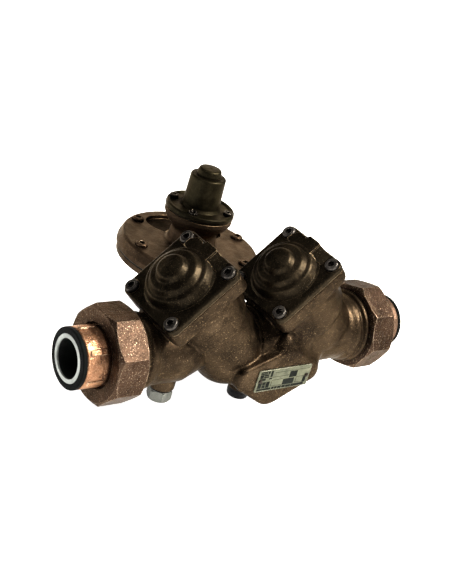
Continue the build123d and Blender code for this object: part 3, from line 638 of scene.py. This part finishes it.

# ---- main diaphragm: clamped rim, moving centre, and a web of sectors between them --------------
DIAPHRAGM_LOW, DIAPHRAGM_HIGH = 15.5 * MM, 16.7 * MM
DIAPHRAGM_BORE, PLATE_EDGE, CLAMP_EDGE, DIAPHRAGM_RIM = 3.1 * MM, 33.2 * MM, 36.3 * MM, 55.6 * MM
BOLT_CIRCLE, BOLT_HOLE, FIRST_BOLT, BOLTS = 47 * MM, 2.6 * MM, 2, 6
WEBS = 24
INNER_POINTS, MIDDLE_POINTS, OUTER_POINTS, HOLE_POINTS = 72, 60, 96, 20
bolt_angles = [math.radians(FIRST_BOLT + 360 / BOLTS * step) for step in range(BOLTS)]
bolt_holes = [(BOLT_CIRCLE * math.cos(a), BOLT_CIRCLE * math.sin(a)) for a in bolt_angles]


def circle(centre, radius, count):
    angles = np.arange(count) * 2 * math.pi / count
    return [(centre[0] + radius * math.cos(a), centre[1] + radius * math.sin(a)) for a in angles]


def washer(inner, outer, holes):
    """Points and faces of a flat ring of rubber with round holes, about the relief valve's axis."""
    flat = circle((0, 0), inner, INNER_POINTS)
    flat += circle((0, 0), (inner + outer) / 2, MIDDLE_POINTS)
    flat += circle((0, 0), outer, OUTER_POINTS)
    for hole in holes:
        flat += circle(hole, BOLT_HOLE, HOLE_POINTS)
    flat, _, triangles, *_ = delaunay_2d_cdt([Vector(p) for p in flat], [], [], 0, 1e-9)
    kept = []
    for triangle in triangles:
        middle = sum((flat[i] for i in triangle), Vector((0, 0))) / 3
        in_hole = any((middle - Vector(hole)).length < BOLT_HOLE for hole in holes)
        if inner < middle.length < outer and not in_hole:
            kept.append(tuple(triangle))
    count = len(flat)
    levels = (DIAPHRAGM_LOW, DIAPHRAGM_HIGH)
    points = [(RELIEF[0] + p.x, RELIEF[1] + p.y, z) for z in levels for p in flat]
    faces = [tuple(i + count for i in triangle) for triangle in kept]
    faces += [tuple(reversed(triangle)) for triangle in kept]
    sides = {(t[i], t[(i + 1) % 3]) for t in kept for i in range(3)}
    faces += [(a, b, b + count, a + count) for a, b in sorted(sides) if (b, a) not in sides]
    used = sorted({i for face in faces for i in face})
    place = {old: new for new, old in enumerate(used)}
    return [points[i] for i in used], [tuple(place[i] for i in face) for face in faces]


def web(start, stop):
    """Points and faces of one sector of the diaphragm's web."""
    points, faces = [], []
    rows, columns = 7, 4
    for z in (DIAPHRAGM_LOW, DIAPHRAGM_HIGH):
        for row in range(rows):
            radius = PLATE_EDGE + (CLAMP_EDGE - PLATE_EDGE) * row / (rows - 1)
            for column in range(columns):
                angle = start + (stop - start) * column / (columns - 1)
                x, y = radius * math.cos(angle), radius * math.sin(angle)
                points.append((RELIEF[0] + x, RELIEF[1] + y, z))
    upper = rows * columns
    for row in range(rows - 1):
        for column in range(columns - 1):
            corner = row * columns + column
            lower = (corner, corner + 1, corner + columns + 1, corner + columns)
            faces += [lower, tuple(upper + i for i in reversed(lower))]
    outline = list(range(columns))
    outline += [row * columns + columns - 1 for row in range(1, rows)]
    outline += [(rows - 1) * columns + column for column in range(columns - 2, -1, -1)]
    outline += [row * columns for row in range(rows - 2, 0, -1)]
    for here, there in zip(outline, outline[1:] + outline[:1]):
        faces.append((there, here, here + upper, there + upper))
    return points, faces


rim = new_piece(
    "diaphragm_rim", *washer(CLAMP_EDGE, DIAPHRAGM_RIM, bolt_holes),
    finishes["rubber"], "valve_body", "rubber", False)
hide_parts("main_diaphragm")
new_piece(
    "diaphragm_centre", *washer(DIAPHRAGM_BORE, PLATE_EDGE, []),
    finishes["rubber"], "relief_stem", "rubber", False)
turn = 2 * math.pi / WEBS
for number in range(WEBS):
    name = f"diaphragm_web_{number + 1:02d}"
    sector = new_piece(
        name, *web(number * turn, (number + 1) * turn), finishes["rubber"], None, "rubber")
    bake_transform(sector)

# ---- marks on the nameplate: plain printed fields, no lettering --------------------------------
INK = 0.06 * MM
fields = [
    (0.035, 0.04, 0.30, 0.13), (0.035, 0.155, 0.105, 0.44), (0.115, 0.155, 0.175, 0.29),
    (0.185, 0.155, 0.25, 0.44), (0.115, 0.31, 0.175, 0.44), (0.035, 0.52, 0.15, 0.62),
    (0.035, 0.64, 0.10, 0.80), (0.11, 0.64, 0.20, 0.71), (0.11, 0.73, 0.19, 0.80),
    (0.035, 0.82, 0.155, 0.88), (0.035, 0.90, 0.155, 0.95), (0.17, 0.82, 0.205, 0.95),
    (0.225, 0.66, 0.265, 0.95), (0.215, 0.55, 0.27, 0.62), (0.315, 0.04, 0.36, 0.15),
    (0.37, 0.04, 0.42, 0.15), (0.43, 0.04, 0.50, 0.15), (0.51, 0.04, 0.575, 0.15),
    (0.50, 0.18, 0.715, 0.46), (0.60, 0.50, 0.745, 0.80), (0.585, 0.04, 0.68, 0.14),
    (0.69, 0.04, 0.93, 0.15), (0.89, 0.17, 0.95, 0.44), (0.28, 0.475, 0.49, 0.49),
    (0.28, 0.19, 0.49, 0.205), (0.28, 0.62, 0.59, 0.635), (0.75, 0.20, 0.88, 0.215),
    (0.75, 0.47, 0.95, 0.485), (0.28, 0.205, 0.286, 0.475), (0.75, 0.215, 0.756, 0.47),
    (0.30, 0.83, 0.97, 0.842),
]
marks = []
for left, bottom, right, top in fields:  # shares of the plate's width and height
    x0 = PLATE_CENTRE[0] + PLATE_SIZE[0] * (0.5 - right)
    x1 = PLATE_CENTRE[0] + PLATE_SIZE[0] * (0.5 - left)
    z0 = PLATE_CENTRE[2] + PLATE_SIZE[1] * (bottom - 0.5)
    z1 = PLATE_CENTRE[2] + PLATE_SIZE[1] * (top - 0.5)
    marks.append(((x0, PLATE_CENTRE[1] - INK / 3, z0), (x1, PLATE_CENTRE[1] + INK, z1)))
mark_points, mark_faces = blocks(marks)
new_piece(
    "nameplate_print", mark_points, mark_faces, finishes["printed_ink"], "valve_body", "plate_metal", False)

# ---- camera, floor and light -------------------------------------------------------------------
AZIMUTH, ELEVATION, ROLL = (math.radians(a) for a in (42.875, 25.596, 16.727))
DISTANCE = 0.75209
TARGET = Vector((0.1746, 0, 0.0403))
forward = Vector((
    -math.sin(AZIMUTH) * math.cos(ELEVATION),
    -math.cos(AZIMUTH) * math.cos(ELEVATION),
    -math.sin(ELEVATION),
))
level_right = Vector((-math.cos(AZIMUTH), math.sin(AZIMUTH), 0))
level_up = level_right.cross(forward)
right = level_right * math.cos(ROLL) + level_up * math.sin(ROLL)
up = level_up * math.cos(ROLL) - level_right * math.sin(ROLL)


def facing(place, x_axis, y_axis, z_axis):
    turned = Matrix((x_axis, y_axis, z_axis)).transposed().to_4x4()
    return Matrix.Translation(place) @ turned


lens = bpy.data.cameras.new("camera")
lens.sensor_width = 36
lens.lens = 66.51
lens.sensor_fit = "VERTICAL"
lens.sensor_height = 36
lens.clip_start = 0.02
camera = bpy.data.objects.new("camera", lens)
camera.matrix_world = facing(TARGET - forward * DISTANCE, right, up, -forward)
scene.collection.objects.link(camera)
scene.camera = camera

FLOOR_SIZE = 14.0
floor_mesh = bpy.data.meshes.new("floor")
floor_z = cad_box[0][2] - 0.3 * MM
corners = [(-1, -1), (1, -1), (1, 1), (-1, 1)]
floor_mesh.from_pydata([(a * FLOOR_SIZE, b * FLOOR_SIZE, floor_z) for a, b in corners], [], [(0, 1, 2, 3)])
floor = bpy.data.objects.new("floor", floor_mesh)
scene.collection.objects.link(floor)
pale = Surface("floor_paper")
paper = pale.mix(pale.noise(3.0), rgba((0.86, 0.86, 0.86)), rgba((0.9, 0.9, 0.9)))
pale.put(paper, pale.shader.inputs["Base Color"])
pale.shader.inputs["Roughness"].default_value = 0.9
pale.shader.inputs["Emission Color"].default_value = rgba((1, 1, 1))
pale.shader.inputs["Emission Strength"].default_value = 0.92
floor_mesh.materials.append(pale.material)


def lamp(name, sideways, upward, towards, size, power, colour):
    """A soft square lamp turned to the object and placed by its offset as the camera sees it."""
    place = TARGET + right * sideways + up * upward - forward * towards
    turned = (place - TARGET).to_track_quat("Z", "Y").to_matrix().to_4x4()
    data = bpy.data.lights.new(name, "AREA")
    data.size = size
    data.energy = power
    data.color = colour
    lamp_object = bpy.data.objects.new(name, data)
    lamp_object.matrix_world = Matrix.Translation(place) @ turned
    scene.collection.objects.link(lamp_object)


lamp("key", sideways=0.86, upward=0.44, towards=0.27, size=0.22, power=34.0, colour=(1.0, 0.92, 0.81))
lamp("fill", sideways=0.62, upward=0.42, towards=0.66, size=0.25, power=4.5, colour=(1.0, 0.94, 0.86))
lamp("rim", sideways=0.20, upward=0.75, towards=-0.62, size=0.5, power=4.0, colour=(1.0, 0.95, 0.88))
lamp("top", sideways=-0.12, upward=0.80, towards=0.50, size=0.3, power=1.8, colour=(1.0, 0.95, 0.88))
lamp("back", sideways=-0.45, upward=0.50, towards=-0.80, size=0.5, power=9.0, colour=(1.0, 0.94, 0.86))
lamp("left", sideways=-0.90, upward=0.30, towards=-0.25, size=0.5, power=5.0, colour=(1.0, 0.94, 0.86))
world = bpy.data.worlds.new("studio")
world.use_nodes = True
sky = world.node_tree
sky_place = sky.nodes.new("ShaderNodeTexCoord")
sky_parts = sky.nodes.new("ShaderNodeSeparateXYZ")
sky_height = sky.nodes.new("ShaderNodeMapRange")
sky_height.inputs["From Min"].default_value = 0.02
sky_height.inputs["From Max"].default_value = 0.12
sky_height.inputs["To Min"].default_value = 1.0
sky_height.inputs["To Max"].default_value = 0.09
sky.links.new(sky_place.outputs["Generated"], sky_parts.inputs["Vector"])
sky.links.new(sky_parts.outputs["Z"], sky_height.inputs["Value"])
sky.links.new(sky_height.outputs["Result"], sky.nodes["Background"].inputs["Strength"])
sky.nodes["Background"].inputs["Color"].default_value = rgba((1, 1, 1))
scene.world = world
scene.view_settings.view_transform = "Standard"
